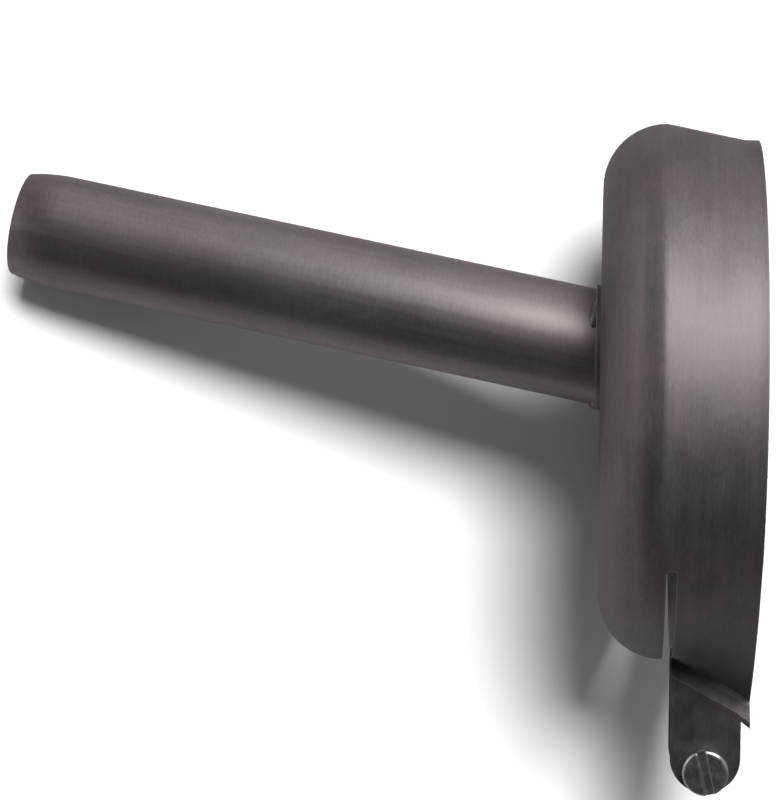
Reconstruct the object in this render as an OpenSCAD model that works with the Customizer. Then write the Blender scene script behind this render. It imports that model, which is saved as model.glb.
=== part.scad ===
// Extension nozzle: a slender steel tube on a shallow clamp collar.
// The mouth of the collar lies on z = 0 with its middle at the origin.
// The tube leaves upwards, and the clamp ears stand out along -X.

/* [Collar] */
// Outer diameter of the collar at its widest, where the shoulder starts
collar_d = 81; // [56:0.5:110]
// Depth of the collar, from its mouth to its flat end
collar_depth = 23.1; // [22.5:0.1:45]
// Radius of the drawn shoulder between the band and the flat end
shoulder_r = 9.5; // [5:0.5:10.5]
// Distance by which the clamp band draws in towards the mouth, all round
band_taper = 2.4; // [0:0.1:3]
// Height of the straight lip at the mouth
lip_h = 2; // [1:0.5:4]
// Thickness of the steel sheet
sheet = 0.8; // [0.6:0.1:1.2]

/* [Slit and slot] */
// Width of the slit that frees the clamp tongues from the shoulder
slit_w = 1.5; // [1:0.1:2.5]
// Height of the plain strip between the slit and the shoulder
slit_drop = 0.1; // [0.1:0.1:1.2]
// Distance by which the slit's round end is wider than the slit, each side
slit_end = 0.05; // [0.05:0.05:0.3]
// Angle that the slit reaches round the collar, each way from the slot
slit_reach = 53; // [30:1:70]
// Gap between the two tongues
slot_gap = 5; // [3:0.5:9]
// Distance that the tongues are sprung open at the mouth
tongue_flare = 9; // [0:0.5:10]

/* [Clamp ears] */
// Length of the foot, the slanted strip between the crease and the ear
foot_l = 3.6; // [2.5:0.1:5]
// Angle at which the foot leans out over the band
foot_lean = 30; // [10:1:40]
// Distance from the crease to the middle of the screw hole
ear_reach = 14.4; // [12:0.1:17]
// Distance by which the hole lies beyond the middle of the ear's round end
hole_beyond = 1.8; // [0:0.1:2]
// Width of the ear
ear_w = 10.6; // [9:0.1:11.8]
// Gap all round between the screw's shank and its hole in the ear
hole_fit = 0.25; // [0.1:0.05:0.5]

/* [Tube] */
// Outer diameter of the tube
tube_d = 17.4; // [10:0.1:24]
// Wall of the tube
tube_wall = 0.9; // [0.6:0.1:1.5]
// Length of the tube along its axis, from the flat end to the tip
tube_l = 91.5; // [60:0.5:160]
// Lean of the tube, away from the ears
tube_lean = 11.5; // [0:0.5:12]
// Distance of the tube's foot from the collar's axis, away from the ears
tube_shift = 6.5; // [0:0.1:7]
// Distance by which the tip is drawn in, all round
tip_in = 0.8; // [0.2:0.1:1.5]
// Length of the drawn-in tip
tip_l = 6.5; // [4:0.5:12]
// Gap all round between the tube and its neck
tube_fit = 0.05; // [0.03:0.01:0.2]

/* [Neck and welds] */
// Height of the neck that holds the tube, above the flat end
neck_h = 0.8; // [0.5:0.1:3]
// Wall of the neck
neck_wall = 0.6; // [0.4:0.1:1.2]
// Number of weld tacks round the neck
tack_count = 3; // [2:1:6]
// Thickness of a weld tack
tack_d = 2; // [1.6:0.1:3]
// Length of a weld tack along the seam
tack_l = 4.8; // [3:0.2:7]

/* [Screw and nut] */
// Diameter of the screw's shank
screw_d = 4; // [3:0.1:5]
// Length of the shank that stands out past the nut
screw_spare = 2.7; // [1:0.1:8]
// Diameter of the screw head
head_d = 7; // [6:0.1:8]
// Height of the screw head
head_h = 2.6; // [2:0.1:3.5]
// Width of the driver slot
driver_w = 1.2; // [0.8:0.1:1.5]
// Depth of the driver slot
driver_depth = 1.1; // [0.6:0.1:1.4]
// Turn of the driver slot from the ear's length
driver_turn = 12; // [0:1:90]
// Width of the nut across its flats
nut_af = 7; // [6:0.1:8]
// Thickness of the nut
nut_h = 3.2; // [2:0.1:4]
// Gap all round between the screw's shank and the nut
thread_fit = 0.03; // [0.02:0.01:0.1]

/* [Hidden] */
$fn = 144;

// Overshoot of a cutter past the face that it opens
over = 1;
// Length by which the root of one form is bedded in its neighbour
bed = 0.4;
// Step by which a bedded root stays inside its neighbour's faces
bed_step = 0.02;

collar_r = collar_d / 2;
mouth_r = collar_r - band_taper;
band_top = collar_depth - shoulder_r;
tube_r = tube_d / 2;
slit_z = band_top - slit_drop - slit_w / 2;
tongue_h = slit_z - slit_w / 2;
root_angle = slit_reach + bed / mouth_r * 180 / PI;

// Facets of a tongue's sheet, round the band and up it above the lip,
// and the power that sets the first ones closer together at the root
tongue_steps = 24;
tongue_rows = 3;
root_power = 1.5;

// Crease, ear and screw hole: sideways from the slot's middle, and outwards
crease_side = (slot_gap + sheet) / 2;
ear_side = crease_side + foot_l * sin(foot_lean);
ear_top = tongue_h - bed_step;
ear_low = ear_top - ear_w;
hole_z = ear_top - ear_w / 2;
ear_plate_t = sheet - 4 * bed_step;
ear_outer = ear_side + ear_plate_t / 2;
hole_out = crease_out(hole_z) + ear_reach;
ear_out = hole_out - hole_beyond;
ear_hole_r = screw_d / 2 + hole_fit;

// Curve of the drawn-in tip: an arc that starts along the tube
tip_bend_r = (tip_l * tip_l + tip_in * tip_in) / (2 * tip_in);

// Weld tacks: a ring of wire, curved tighter than the tube, that stands
// out of the tube's face over the length of the tack
tack_sink = 0.3;
tack_rise = tack_d / 2 - tack_sink;
tack_ring_r = 1 / (1 / tube_r + 8 * tack_rise / (tack_l * tack_l));

// Side of the tube that the first weld tack is on, turned from +X
first_tack = -52;

// Small edges of the screw and the nut, and the screw's whole shank
head_edge = 0.5;
shank_chamfer = 0.5;
nut_chamfer = 0.45;
nut_corner_r = nut_af / 2 / cos(30);
screw_l = 2 * ear_outer + nut_h + screw_spare;

steel = "#8e898a";
dull_steel = "#8a8a8e";
bright_steel = "#c9c9c6";

// Outward spring of a tongue: share runs from 0 at its root to 1 at the slot
function flare_at(share, z) = tongue_flare * share * share * (1 - z / tongue_h);

// Radius of the band, to the middle of its sheet, at height z
function band_r(z) =
    mouth_r - sheet / 2 + band_taper * max(z - lip_h, 0) / (band_top - lip_h);

// Point on the middle of the band's sheet, at an angle from the slot
function band_point(a, z) = band_r(z) * [-cos(a), -sin(a)];

// Angle from the slot's middle to a tongue's crease, and the crease's reach
function crease_angle(z) = asin(crease_side / band_r(z));
function crease_out(z) = band_r(z) * cos(crease_angle(z)) + flare_at(1, z);

// Middle of the sheet at height z, from a tongue's bedded root to its ear
function tongue_path(z) = concat(
    [band_point(root_angle, z)],
    [for (i = [0 : tongue_steps])
        let (share = pow(i / tongue_steps, root_power))
        let (a = slit_reach + (crease_angle(z) - slit_reach) * share)
        band_point(a, z) - [flare_at(share, z), 0]],
    [[-foot_out(z), -ear_side]],
    [[-foot_out(z) - 2 * bed, -ear_side]]);

// Outward place of the foot's far end at height z
function foot_out(z) = crease_out(z) + foot_l * cos(foot_lean);

function unit(v) = v / norm(v);
function left_of(v) = [-v.y, v.x];
function step_dir(path, i) = unit(path[i + 1] - path[i]);

// Point beside corner i of a path, a distance d to its left, with a mitre
function beside(path, i, d) =
    let (last = len(path) - 1)
    let (before = left_of(step_dir(path, max(i - 1, 0))))
    let (after = left_of(step_dir(path, min(i, last - 1))))
    let (mitre = unit(before + after))
    path[i] + mitre * d / (mitre * before);

// One folded sheet: tongue, crease, foot and the start of the ear
module tongue_sheet() {
    n = tongue_steps + 4;
    levels = concat(
        [bed_step],
        [for (j = [0 : tongue_rows]) lip_h + (tongue_h - lip_h) * j / tongue_rows]);
    top = len(levels) - 1;
    points = [for (z = levels, side = [1, -1], i = [0 : n - 1])
        let (p = beside(tongue_path(z), i, side * (sheet / 2 - bed_step)))
        [p.x, p.y, z]];
    function at(j, side, i) = (j * 2 + side) * n + i;
    walls = [for (j = [0 : top - 1], i = [0 : n - 2])
        each [
            [at(j, 0, i), at(j + 1, 0, i + 1), at(j + 1, 0, i)],
            [at(j, 0, i), at(j, 0, i + 1), at(j + 1, 0, i + 1)],
            [at(j, 1, i), at(j + 1, 1, i), at(j + 1, 1, i + 1)],
            [at(j, 1, i), at(j + 1, 1, i + 1), at(j, 1, i + 1)]]];
    ends = [for (j = [0 : top - 1])
        each [
            [at(j, 0, 0), at(j + 1, 0, 0), at(j + 1, 1, 0), at(j, 1, 0)],
            [at(j, 0, n - 1), at(j, 1, n - 1), at(j + 1, 1, n - 1), at(j + 1, 0, n - 1)]]];
    edges = [for (i = [0 : n - 2])
        each [
            [at(0, 0, i), at(0, 1, i), at(0, 1, i + 1), at(0, 0, i + 1)],
            [at(top, 0, i), at(top, 0, i + 1), at(top, 1, i + 1), at(top, 1, i)]]];
    polyhedron(points = points, faces = concat(walls, ends, edges));
}

// Flat ear with its round end and its screw hole, on the -Y side
module ear_plate() {
    translate([0, ear_plate_t / 2 - ear_side, 0]) rotate([90, 0, 0]) difference() {
        union() {
            linear_extrude(ear_plate_t) polygon([
                [-foot_out(ear_top) - bed, ear_top],
                [-foot_out(ear_low) - bed, ear_low],
                [-ear_out, ear_low],
                [-ear_out, ear_top]]);
            translate([-ear_out, hole_z, 0]) cylinder(d = ear_w, h = ear_plate_t);
        }
        translate([-hole_out, hole_z, -over]) cylinder(r = ear_hole_r, h = ear_plate_t + 2 * over);
    }
}

// Places its children on the tube's axis, from the flat end upwards
module on_tube_axis() {
    translate([tube_shift, 0, collar_depth]) rotate([0, tube_lean, 0]) children();
}

// Half section of the cup, filled, with its sides and end moved in
module cup_section(inset) {
    polygon([
        [0, 0],
        [mouth_r - inset, 0],
        [mouth_r - inset, lip_h],
        [collar_r - inset, band_top],
        [0, band_top]]);
    intersection() {
        translate([0, band_top]) square([collar_r, shoulder_r - inset]);
        union() {
            square([collar_r - shoulder_r, collar_depth]);
            translate([collar_r - shoulder_r, band_top]) circle(r = shoulder_r - inset);
        }
    }
}

// The drawn cup, open at its mouth
module cup() {
    rotate_extrude() difference() {
        cup_section(0);
        cup_section(sheet);
        translate([0, -over]) square([mouth_r - sheet, 2 * over]);
    }
}

// Window that the slits and the two tongues take out of the band
module tongue_window() {
    reach_x = collar_r + over;
    reach_y = reach_x * tan(slit_reach);
    translate([0, 0, -over]) linear_extrude(slit_z + slit_w / 2 + over)
        polygon([[0, 0], [-reach_x, reach_y], [-reach_x, -reach_y]]);
}

// Round ends of the two slits
module slit_ends() {
    for (side = [-1, 1]) translate([0, 0, slit_z]) rotate([0, -90, side * slit_reach])
        cylinder(r = slit_w / 2 + slit_end, h = collar_r + over);
}

// Ring round the tube that stands up from the flat end
module neck() {
    intersection() {
        on_tube_axis() cylinder(r = tube_r + neck_wall, h = collar_depth, center = true);
        translate([0, 0, collar_depth - sheet / 2])
            cylinder(r = collar_r, h = sheet / 2 + neck_h);
    }
}

module collar() {
    color(steel) difference() {
        union() {
            difference() {
                cup();
                tongue_window();
            }
            neck();
            for (side = [0, 1]) mirror([0, side, 0]) {
                tongue_sheet();
                ear_plate();
            }
        }
        slit_ends();
        on_tube_axis() cylinder(r = tube_r + tube_fit, h = collar_depth, center = true);
    }
}

// Half section of the tube's wall, from below the flat end to the tip
module tube_section() {
    bend = tube_l - tip_l;
    translate([tube_r - tube_wall, -collar_depth]) square([tube_wall, collar_depth + bend]);
    intersection() {
        translate([0, bend]) square([tube_r, tip_l]);
        translate([tube_r - tip_bend_r, bend]) difference() {
            circle(r = tip_bend_r);
            circle(r = tip_bend_r - tube_wall);
        }
    }
}

module tube() {
    color(steel) intersection() {
        on_tube_axis() rotate_extrude() tube_section();
        translate([0, 0, collar_depth - sheet]) cylinder(r = tube_l, h = 2 * tube_l);
    }
}

// Height along the tube's axis at which side a of the tube leaves the neck
function seam_at(a) = (neck_h + tube_r * cos(a) * sin(tube_lean)) / cos(tube_lean);

// Ring that makes one tack, on side a of the tube
module tack_ring(a) {
    on_tube_axis() rotate([0, 0, a]) translate([tube_r - tack_sink - tack_ring_r, 0, seam_at(a)])
        rotate_extrude() translate([tack_ring_r, 0]) circle(d = tack_d);
}

module weld_tacks() {
    color(dull_steel) for (i = [0 : tack_count - 1]) difference() {
        tack_ring(first_tack + i * 360 / tack_count);
        on_tube_axis() cylinder(r = tube_r, h = 2 * collar_depth, center = true);
        cylinder(r = collar_r, h = collar_depth + neck_h);
    }
}

// Places its children at the screw hole, with local +Z along -Y
module at_screw() {
    translate([-hole_out, 0, hole_z]) rotate([90, 0, 0]) children();
}

// Half section of the screw's cheese head, with its top edge rounded
module head_section() {
    square([head_d / 2, head_h - head_edge]);
    square([head_d / 2 - head_edge, head_h]);
    translate([head_d / 2 - head_edge, head_h - head_edge]) circle(r = head_edge);
}

module clamp_screw() {
    color(bright_steel) at_screw() difference() {
        union() {
            translate([0, 0, ear_outer]) rotate_extrude() head_section();
            translate([0, 0, ear_outer - screw_l]) {
                cylinder(r1 = screw_d / 2 - shank_chamfer, r2 = screw_d / 2, h = shank_chamfer);
                translate([0, 0, shank_chamfer]) cylinder(d = screw_d, h = screw_l);
            }
        }
        translate([0, 0, ear_outer + head_h - driver_depth]) rotate([0, 0, driver_turn])
            translate([-head_d, -driver_w / 2, 0]) cube([2 * head_d, driver_w, driver_depth + over]);
    }
}

module clamp_nut() {
    color(bright_steel) at_screw() translate([0, 0, -ear_outer - nut_h]) difference() {
        intersection() {
            cylinder(r = nut_corner_r, h = nut_h, $fn = 6);
            rotate_extrude() polygon([
                [0, 0],
                [nut_corner_r - 2 * nut_chamfer, 0],
                [nut_corner_r, nut_chamfer],
                [nut_corner_r, nut_h - nut_chamfer],
                [nut_corner_r - 2 * nut_chamfer, nut_h],
                [0, nut_h]]);
        }
        translate([0, 0, -over]) cylinder(r = screw_d / 2 + thread_fit, h = nut_h + 2 * over);
    }
}

collar();
tube();
weld_tacks();
clamp_screw();
clamp_nut();
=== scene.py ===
"""Looks of the extension nozzle: brushed steel collar and tube, bright clamp screw, and the table it lies on."""

import math

import bpy
from mathutils import Matrix, Vector

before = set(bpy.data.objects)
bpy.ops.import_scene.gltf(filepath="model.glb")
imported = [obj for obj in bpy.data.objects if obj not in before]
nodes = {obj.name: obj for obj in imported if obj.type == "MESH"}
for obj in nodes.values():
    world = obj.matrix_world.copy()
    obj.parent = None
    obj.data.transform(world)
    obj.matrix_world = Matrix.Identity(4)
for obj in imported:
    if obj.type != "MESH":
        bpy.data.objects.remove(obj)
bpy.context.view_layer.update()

# Places of the part, in metres and degrees, as part.scad has them
FLAT_END_R = 31.0
TONGUE_H = 12.05
CREASE_MOUTH_X = 46.7
CREASE_SLANT = 0.567
TUBE_FOOT = Vector((0.0065, 0.0, 0.0231))
TUBE_LEAN = math.radians(11.5)
SCREW_AXIS = Vector((-0.05695, 0.0, 0.00668))

# Screw, in millimetres: shank radius, thread pitch, and where the head sits on the ear
SHANK_R = 2.0
THREAD_PITCH = 0.7
HEAD_SEAT = -5.0

# Camera: focal length in widths of a 36 mm sensor, and where it stands and looks
LENS = 112.5
CAMERA_TARGET = Vector((-0.00185, 0.0, 0.0555))
CAMERA_AZIMUTH = math.radians(3)
CAMERA_RISE = math.radians(-5.05)
CAMERA_ROLL = math.radians(0.5)
CAMERA_DISTANCE = 0.3841


def link(tree, source, target):
    tree.links.new(source, target)


def add(tree, kind, **values):
    """A new node of a material, with its properties and its unlinked inputs set."""
    node = tree.nodes.new(kind)
    for key, value in values.items():
        if hasattr(node, key):
            setattr(node, key, value)
        else:
            node.inputs[key.replace("_", " ")].default_value = value
    return node


def math_node(tree, operation, a, b=None):
    node = add(tree, "ShaderNodeMath", operation=operation)
    for socket, value in zip(node.inputs, (a, b)):
        if value is None:
            continue
        if isinstance(value, (int, float)):
            socket.default_value = value
        else:
            link(tree, value, socket)
    return node.outputs[0]


def combine(tree, x, y, z):
    node = add(tree, "ShaderNodeCombineXYZ")
    for socket, value in zip(node.inputs, (x, y, z)):
        if isinstance(value, (int, float)):
            socket.default_value = value
        else:
            link(tree, value, socket)
    return node.outputs[0]


def ramp(tree, fac, stops):
    """A colour ramp through (place, colour) stops."""
    node = add(tree, "ShaderNodeValToRGB")
    elements = node.color_ramp.elements
    while len(elements) < len(stops):
        elements.new(0.5)
    for element, (place, colour) in zip(elements, stops):
        element.position = place
        element.color = (*colour, 1.0)
    link(tree, fac, node.inputs["Fac"])
    return node.outputs["Color"]


def noise(tree, vector, scale, detail=4.0, rough=0.6):
    node = add(tree, "ShaderNodeTexNoise", Scale=scale, Detail=detail, Roughness=rough)
    link(tree, vector, node.inputs["Vector"])
    return node.outputs["Fac"]


def mix_colour(tree, fac, a, b, blend="MIX"):
    node = add(tree, "ShaderNodeMix", data_type="RGBA", blend_type=blend)
    sockets = {"Factor": fac, "A": a, "B": b}
    for name, value in sockets.items():
        socket = [s for s in node.inputs if s.name == name and s.enabled][0]
        if isinstance(value, (int, float)):
            socket.default_value = value
        elif isinstance(value, tuple):
            socket.default_value = (*value, 1.0)
        else:
            link(tree, value, socket)
    return [s for s in node.outputs if s.enabled][0]


def new_material(name):
    material = bpy.data.materials.new(name)
    material.use_nodes = True
    tree = material.node_tree
    return material, tree, tree.nodes["Principled BSDF"]


def object_coordinates(tree, location=(0, 0, 0), rotation=(0, 0, 0)):
    """Object coordinates in millimetres, seen from a frame that is moved and turned."""
    coordinates = add(tree, "ShaderNodeTexCoord")
    mapping = add(tree, "ShaderNodeMapping", vector_type="TEXTURE")
    mapping.inputs["Location"].default_value = location
    mapping.inputs["Rotation"].default_value = rotation
    mapping.inputs["Scale"].default_value = (0.001, 0.001, 0.001)
    link(tree, coordinates.outputs["Object"], mapping.inputs["Vector"])
    split = add(tree, "ShaderNodeSeparateXYZ")
    link(tree, mapping.outputs["Vector"], split.inputs["Vector"])
    return split.outputs


def rounded_normal(tree, radius):
    """The surface's normal, turned as if every sharp edge had a small radius, in metres."""
    node = add(tree, "ShaderNodeBevel", samples=4)
    node.inputs["Radius"].default_value = radius
    return node.outputs["Normal"]


def edge_wear_and_highlight(tree, radius):
    """0 on open surfaces, rising to 1 on outer and inner edges, within radius, in metres."""
    surface = add(tree, "ShaderNodeNewGeometry")
    turned = add(tree, "ShaderNodeVectorMath", operation="DOT_PRODUCT")
    link(tree, rounded_normal(tree, radius), turned.inputs[0])
    link(tree, surface.outputs["Normal"], turned.inputs[1])
    bent = math_node(tree, "SUBTRACT", 1.0, turned.outputs["Value"])
    return ramp(tree, bent, [(0.06, (0, 0, 0)), (0.25, (0.7, 0.7, 0.7))])


def brushed(tree, shader, lines, grain, cloud, dark, light, roughness, bump_height, painted_shade=0.0):
    """Brush lines, fine grain and slow stains over a metal, with edges lightened as wear and painted highlight,
    and painted shade: colour, roughness and relief.

    lines, grain and cloud are vectors, in millimetres: lines and grain are squeezed along their marks.
    The last argument is the share of the surface that is painted near-black as painted shade.
    """
    fine = noise(tree, lines, 3.0, 5.0, 0.7)
    broad = noise(tree, lines, 0.8, 2.0, 0.5)
    stain = noise(tree, cloud, 0.09, 4.0, 0.6)
    tint = noise(tree, cloud, 0.055, 3.0, 0.65)
    speck = noise(tree, grain, 4.0, 2.0, 0.6)
    streaks = math_node(tree, "ADD", math_node(tree, "MULTIPLY", fine, 0.5),
                        math_node(tree, "MULTIPLY", broad, 0.5))
    tone = math_node(tree, "ADD", math_node(tree, "MULTIPLY", streaks, 0.35),
                     math_node(tree, "ADD", math_node(tree, "MULTIPLY", stain, 0.4),
                               math_node(tree, "MULTIPLY", speck, 0.25)))
    colour = ramp(tree, tone, [(0.36, dark), (0.64, light)])
    hue = ramp(tree, tint, [(0.38, (0.97, 0.94, 0.938)), (0.6, (1.0, 0.88, 0.895))])
    tinted = mix_colour(tree, 1.0, colour, hue, "MULTIPLY")
    # Edges are painted lighter: partly rubbed wear, partly a painted highlight where the edges catch the light.
    rubbed = mix_colour(tree, edge_wear_and_highlight(tree, 0.0004), tinted, (0.6, 0.58, 0.57))
    # Painted shade: the colour is darkened towards near-black by the last argument's share.
    with_painted_shade = mix_colour(tree, painted_shade, rubbed, (0.055, 0.055, 0.057))
    link(tree, with_painted_shade, shader.inputs["Base Color"])
    span = add(tree, "ShaderNodeMapRange")
    span.inputs["From Min"].default_value = 0.36
    span.inputs["From Max"].default_value = 0.64
    span.inputs["To Min"].default_value = roughness[0]
    span.inputs["To Max"].default_value = roughness[1]
    link(tree, tone, span.inputs["Value"])
    link(tree, span.outputs["Result"], shader.inputs["Roughness"])
    bump = add(tree, "ShaderNodeBump", Strength=0.3, Distance=bump_height)
    link(tree, streaks, bump.inputs["Height"])
    link(tree, rounded_normal(tree, 0.00016), bump.inputs["Normal"])
    link(tree, bump.outputs["Normal"], shader.inputs["Normal"])


def ear_painted_shade(tree, x, z, cloud):
    """Patchy painted shade on the feet and ears, from the slanting crease outwards; x and z are in millimetres.
    """
    crease = math_node(tree, "MULTIPLY", z, CREASE_SLANT)
    beyond = math_node(tree, "SUBTRACT", math_node(tree, "SUBTRACT", crease, x), CREASE_MOUTH_X)
    span = add(tree, "ShaderNodeMapRange")
    span.inputs["From Min"].default_value = 0.0
    span.inputs["From Max"].default_value = 0.9
    link(tree, beyond, span.inputs["Value"])
    on_tongue = math_node(tree, "LESS_THAN", z, TONGUE_H)
    reach = math_node(tree, "MULTIPLY", span.outputs["Result"], on_tongue)
    patches = noise(tree, cloud, 0.25, 3.0, 0.6)
    return math_node(tree, "MULTIPLY", reach, math_node(tree, "MULTIPLY", patches, 1.2))


def collar_steel():
    """Stainless sheet, brushed round the collar's axis. Its tones are darker than the tube's, though both are
    the same steel: painted shade for the dimmer highlight on the collar.
    """
    material, tree, shader = new_material("collar_steel")
    x, y, z = object_coordinates(tree)
    radius = math_node(tree, "SQRT", math_node(tree, "ADD", math_node(tree, "MULTIPLY", x, x),
                                               math_node(tree, "MULTIPLY", y, y)))
    profile = math_node(tree, "SUBTRACT", z, math_node(tree, "MINIMUM", radius, FLAT_END_R))
    lines = combine(tree, math_node(tree, "MULTIPLY", x, 0.03), math_node(tree, "MULTIPLY", y, 0.03), profile)
    grain = combine(tree, math_node(tree, "MULTIPLY", x, 0.25), math_node(tree, "MULTIPLY", y, 0.25), profile)
    cloud = combine(tree, x, y, math_node(tree, "MULTIPLY", z, 1.5))
    # The feet and ears are darkened with patchy painted shade.
    brushed(tree, shader, lines, grain, cloud, (0.195, 0.187, 0.185), (0.32, 0.306, 0.304), (0.46, 0.54),
            0.00005, ear_painted_shade(tree, x, z, cloud))
    shader.inputs["Metallic"].default_value = 1.0
    shader.inputs["Anisotropic"].default_value = 0.4
    tangent = add(tree, "ShaderNodeTangent", direction_type="RADIAL", axis="Z")
    link(tree, tangent.outputs["Tangent"], shader.inputs["Tangent"])
    return material


def tube_steel():
    """Drawn tube, polished along its length. Its tones are lighter than the collar's, though both are the same
    steel: painted light for the brighter highlight on the tube.
    """
    material, tree, shader = new_material("tube_steel")
    x, y, z = object_coordinates(tree, TUBE_FOOT, (0, TUBE_LEAN, 0))
    lines = combine(tree, x, y, math_node(tree, "MULTIPLY", z, 0.02))
    grain = combine(tree, math_node(tree, "MULTIPLY", x, 0.2), math_node(tree, "MULTIPLY", y, 0.2), z)
    cloud = combine(tree, x, y, math_node(tree, "MULTIPLY", z, 0.5))
    brushed(tree, shader, lines, grain, cloud, (0.27, 0.255, 0.252), (0.455, 0.428, 0.424), (0.36, 0.43),
            0.00003)
    shader.inputs["Metallic"].default_value = 1.0
    shader.inputs["Anisotropic"].default_value = 0.65
    surface = add(tree, "ShaderNodeNewGeometry")
    axis = combine(tree, math.sin(TUBE_LEAN), 0.0, math.cos(TUBE_LEAN))
    around = add(tree, "ShaderNodeVectorMath", operation="CROSS_PRODUCT")
    link(tree, surface.outputs["Normal"], around.inputs[0])
    link(tree, axis, around.inputs[1])
    link(tree, around.outputs["Vector"], shader.inputs["Tangent"])
    return material


def weld_steel():
    """Dull melted bead with a straw and blue heat tint."""
    material, tree, shader = new_material("weld_steel")
    x, y, z = object_coordinates(tree)
    place = combine(tree, x, y, z)
    grain = noise(tree, place, 2.5, 5.0, 0.6)
    tint = ramp(tree, grain, [(0.3, (0.1, 0.095, 0.105)), (0.55, (0.2, 0.185, 0.18)), (0.75, (0.28, 0.24, 0.2))])
    link(tree, tint, shader.inputs["Base Color"])
    shader.inputs["Metallic"].default_value = 1.0
    shader.inputs["Roughness"].default_value = 0.38
    bump = add(tree, "ShaderNodeBump", Strength=0.4, Distance=0.0001)
    link(tree, grain, bump.inputs["Height"])
    link(tree, bump.outputs["Normal"], shader.inputs["Normal"])
    return material


def bright_plate(name):
    """Bright plated steel, with turned rings on the head, a thread on the shank and rubbed spots."""
    material, tree, shader = new_material(name)
    x, y, z = object_coordinates(tree, SCREW_AXIS)
    radius = math_node(tree, "SQRT", math_node(tree, "ADD", math_node(tree, "MULTIPLY", x, x),
                                               math_node(tree, "MULTIPLY", z, z)))
    rings = noise(tree, combine(tree, math_node(tree, "MULTIPLY", radius, 9.0), 0.0,
                                math_node(tree, "MULTIPLY", y, 2.0)), 1.0, 3.0, 0.5)
    rubbed = noise(tree, combine(tree, x, y, z), 0.7, 4.0, 0.6)
    colour = ramp(tree, rubbed, [(0.35, (0.52, 0.52, 0.52)), (0.7, (0.8, 0.79, 0.77))])
    link(tree, colour, shader.inputs["Base Color"])
    shine = ramp(tree, rubbed, [(0.3, (0.12, 0.12, 0.12)), (0.7, (0.24, 0.24, 0.24))])
    link(tree, shine, shader.inputs["Roughness"])
    shader.inputs["Metallic"].default_value = 1.0
    turns = math_node(tree, "ADD", math_node(tree, "DIVIDE", y, THREAD_PITCH),
                      math_node(tree, "DIVIDE", math_node(tree, "ARCTAN2", z, x), 2 * math.pi))
    ridge = math_node(tree, "PINGPONG", turns, 0.5)
    on_shank = math_node(tree, "LESS_THAN", radius, SHANK_R + 0.05)
    behind_head = math_node(tree, "GREATER_THAN", y, HEAD_SEAT)
    thread = math_node(tree, "MULTIPLY", ridge, math_node(tree, "MULTIPLY", on_shank, behind_head))
    relief = math_node(tree, "ADD", math_node(tree, "MULTIPLY", rings, 0.05), thread)
    bump = add(tree, "ShaderNodeBump", Strength=0.9, Distance=0.0007)
    link(tree, relief, bump.inputs["Height"])
    link(tree, rounded_normal(tree, 0.00045), bump.inputs["Normal"])
    link(tree, bump.outputs["Normal"], shader.inputs["Normal"])
    return material


def dress(node, material):
    """Gives a CAD node its finish."""
    mesh = nodes[node].data
    mesh.materials.clear()
    mesh.materials.append(material)


def stage_white():
    """Pale matt table. The camera, and faintly the metal, see it as brightly exposed paper with the
    object's shadow; its back lets everything through."""
    material, tree, shader = new_material("stage_white")
    shader.inputs["Base Color"].default_value = (0.15, 0.15, 0.15, 1.0)
    shader.inputs["Roughness"].default_value = 0.9
    shader.inputs["Specular IOR Level"].default_value = 0.0
    paper = add(tree, "ShaderNodeBsdfDiffuse", Color=(0.78, 0.78, 0.78, 1.0))
    glow = add(tree, "ShaderNodeEmission", Color=(1, 1, 1, 1), Strength=0.01)
    bright = add(tree, "ShaderNodeAddShader")
    link(tree, paper.outputs["BSDF"], bright.inputs[0])
    link(tree, glow.outputs["Emission"], bright.inputs[1])
    path = add(tree, "ShaderNodeLightPath")
    mirrored = math_node(tree, "MAXIMUM", path.outputs["Is Glossy Ray"], path.outputs["Is Transmission Ray"])
    shown = math_node(tree, "MAXIMUM", path.outputs["Is Camera Ray"], math_node(tree, "MULTIPLY", mirrored, 0.1))
    seen = add(tree, "ShaderNodeMixShader")
    link(tree, shown, seen.inputs["Fac"])
    link(tree, shader.outputs["BSDF"], seen.inputs[1])
    link(tree, bright.outputs[0], seen.inputs[2])
    side = add(tree, "ShaderNodeNewGeometry")
    clear = add(tree, "ShaderNodeBsdfTransparent")
    one_sided = add(tree, "ShaderNodeMixShader")
    link(tree, side.outputs["Backfacing"], one_sided.inputs["Fac"])
    link(tree, seen.outputs[0], one_sided.inputs[1])
    link(tree, clear.outputs[0], one_sided.inputs[2])
    link(tree, one_sided.outputs[0], tree.nodes["Material Output"].inputs["Surface"])
    return material


def stage_plane(name, centre, normal, size, material):
    """A square of the stage, whose front faces along normal."""
    mesh = bpy.data.meshes.new(name)
    half = size / 2
    corners = [(-half, -half, 0), (half, -half, 0), (half, half, 0), (-half, half, 0)]
    mesh.from_pydata(corners, [], [(0, 1, 2, 3)])
    plane = bpy.data.objects.new(name, mesh)
    plane.matrix_world = Matrix.Translation(centre) @ normal.to_track_quat("Z", "Y").to_matrix().to_4x4()
    mesh.materials.append(material)
    bpy.context.scene.collection.objects.link(plane)
    return plane


def add_lamp(name, data, place, target):
    lamp = bpy.data.objects.new(name, data)
    lamp.location = place
    lamp.rotation_euler = (target - place).to_track_quat("-Z", "Y").to_euler()
    bpy.context.scene.collection.objects.link(lamp)
    return lamp


def steel_lamp(name, place, target, size, power):
    """A round softbox that lights the steel and leaves the matt table to the table's own lamp."""
    data = bpy.data.lights.new(name, "AREA")
    data.shape = "DISK"
    data.size = size
    data.energy = power
    add_lamp(name, data, place, target).visible_diffuse = False


def table_lamp(name, place, target, spread, strength):
    """An even light on the matt table alone, from far away, that casts the object's shadow there."""
    data = bpy.data.lights.new(name, "SUN")
    data.angle = spread
    data.energy = strength
    add_lamp(name, data, place, target).visible_glossy = False


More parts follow.
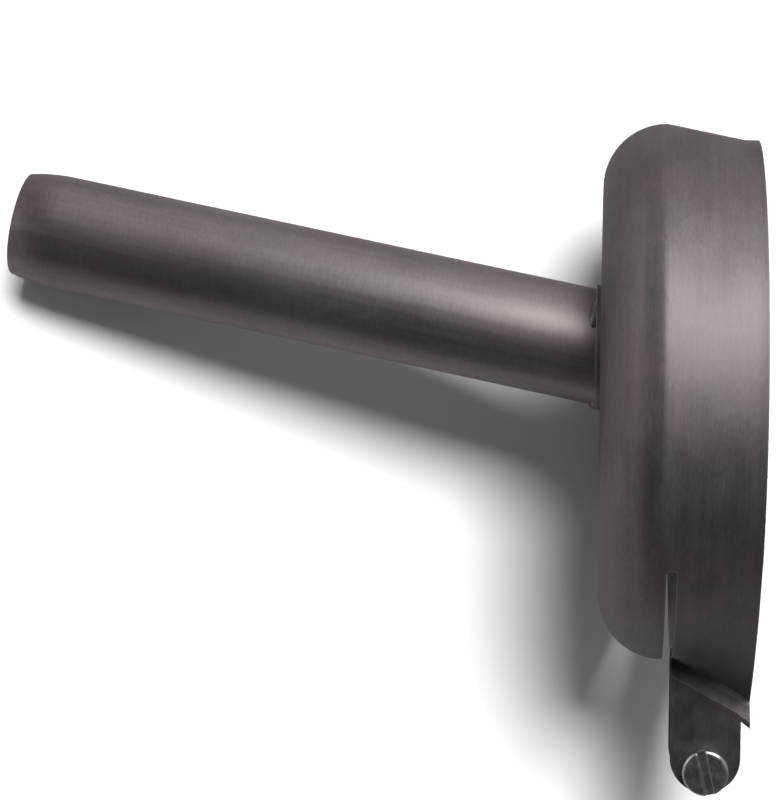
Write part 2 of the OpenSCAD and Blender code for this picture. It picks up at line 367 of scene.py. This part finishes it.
def world_light(strength):
    """Soft grey room light; the camera sees white."""
    world = bpy.data.worlds.new("room")
    bpy.context.scene.world = world
    world.use_nodes = True
    tree = world.node_tree
    room = tree.nodes["Background"]
    coordinates = add(tree, "ShaderNodeTexCoord")
    split = add(tree, "ShaderNodeSeparateXYZ")
    link(tree, coordinates.outputs["Generated"], split.inputs["Vector"])
    height = math_node(tree, "ADD", math_node(tree, "MULTIPLY", split.outputs["X"], 0.5), 0.5)
    shade = ramp(tree, height, [(0.0, (0.07, 0.07, 0.07)), (0.35, (0.11, 0.108, 0.108)),
                                (0.5, (0.24, 0.235, 0.235)), (0.75, (0.48, 0.47, 0.47)),
                                (1.0, (0.62, 0.61, 0.61))])
    along = math_node(tree, "ADD", math_node(tree, "MULTIPLY", split.outputs["Z"], 0.5), 0.5)
    ends = ramp(tree, along, [(0.0, (0.8, 0.8, 0.8)), (0.3, (0.9, 0.9, 0.9)), (0.45, (1, 1, 1)),
                              (0.53, (0.95, 0.95, 0.95)), (0.61, (0.4, 0.4, 0.4)), (0.72, (0.3, 0.3, 0.3)),
                              (0.85, (2.0, 2.0, 2.0)), (1.0, (2.6, 2.6, 2.6))])
    shade = mix_colour(tree, 1.0, shade, ends, "MULTIPLY")
    front = math_node(tree, "MULTIPLY", split.outputs["Y"], -1.0)
    card = ramp(tree, front, [(0.955, (1, 1, 1)), (0.985, (0.03, 0.03, 0.03))])
    room_shade = mix_colour(tree, 1.0, shade, card, "MULTIPLY")
    link(tree, room_shade, room.inputs["Color"])
    room.inputs["Strength"].default_value = strength
    white = add(tree, "ShaderNodeBackground", Color=(1, 1, 1, 1), Strength=1.0)
    path = add(tree, "ShaderNodeLightPath")
    mixed = add(tree, "ShaderNodeMixShader")
    link(tree, path.outputs["Is Camera Ray"], mixed.inputs["Fac"])
    link(tree, room.outputs[0], mixed.inputs[1])
    link(tree, white.outputs[0], mixed.inputs[2])
    link(tree, mixed.outputs[0], tree.nodes["World Output"].inputs["Surface"])


def add_camera():
    """The photograph's view: +X is up, +Z points left, and the picture is turned a little clockwise."""
    back = Vector((math.sin(CAMERA_AZIMUTH) * math.cos(CAMERA_RISE),
                   -math.cos(CAMERA_AZIMUTH) * math.cos(CAMERA_RISE),
                   math.sin(CAMERA_RISE)))
    up = Vector((1, 0, 0))
    up = (up - back * up.dot(back)).normalized()
    right = up.cross(back)
    turned_right = right * math.cos(CAMERA_ROLL) + up * math.sin(CAMERA_ROLL)
    turned_up = up * math.cos(CAMERA_ROLL) - right * math.sin(CAMERA_ROLL)
    data = bpy.data.cameras.new("camera")
    data.lens = LENS
    data.clip_start = 0.01
    camera = bpy.data.objects.new("camera", data)
    axes = Matrix((turned_right, turned_up, back)).transposed().to_4x4()
    camera.matrix_world = Matrix.Translation(CAMERA_TARGET + back * CAMERA_DISTANCE) @ axes
    bpy.context.scene.collection.objects.link(camera)
    bpy.context.scene.camera = camera


def smooth_folds(node):
    """Shades the tongues' narrow facets as one bent sheet, and keeps true edges sharp."""
    piece = nodes[node]
    weld = piece.modifiers.new("weld", "WELD")
    weld.merge_threshold = 0.000002
    split = piece.modifiers.new("split", "EDGE_SPLIT")
    split.split_angle = math.radians(20)
    split.use_edge_sharp = False
    even = piece.modifiers.new("even", "WEIGHTED_NORMAL")
    even.weight = 50


add_camera()
smooth_folds("collar")
dress("collar", collar_steel())
dress("tube", tube_steel())
dress("weld_tacks", weld_steel())
dress("clamp_screw", bright_plate("screw_steel"))
dress("clamp_nut", bright_plate("nut_steel"))

# The table that the nozzle lies on touches the collar's shoulder and the tube's tip from behind
TABLE_SLOPE = math.radians(18.4)
table_normal = Vector((0, -math.cos(TABLE_SLOPE), -math.sin(TABLE_SLOPE)))
stage_plane("table", Vector((0, 0.0403, 0.0167)), table_normal, 3.0, stage_white())

steel_lamp("key", Vector((0.25, -0.38, -0.145)), Vector((0, 0, 0.02)), 0.32, 0.98)
table_lamp("table_light", Vector((0.52, -1.0, -0.235)), Vector((0, 0, 0)), math.radians(20), 4.8)
world_light(1.0)

bpy.context.scene.view_settings.view_transform = "Standard"
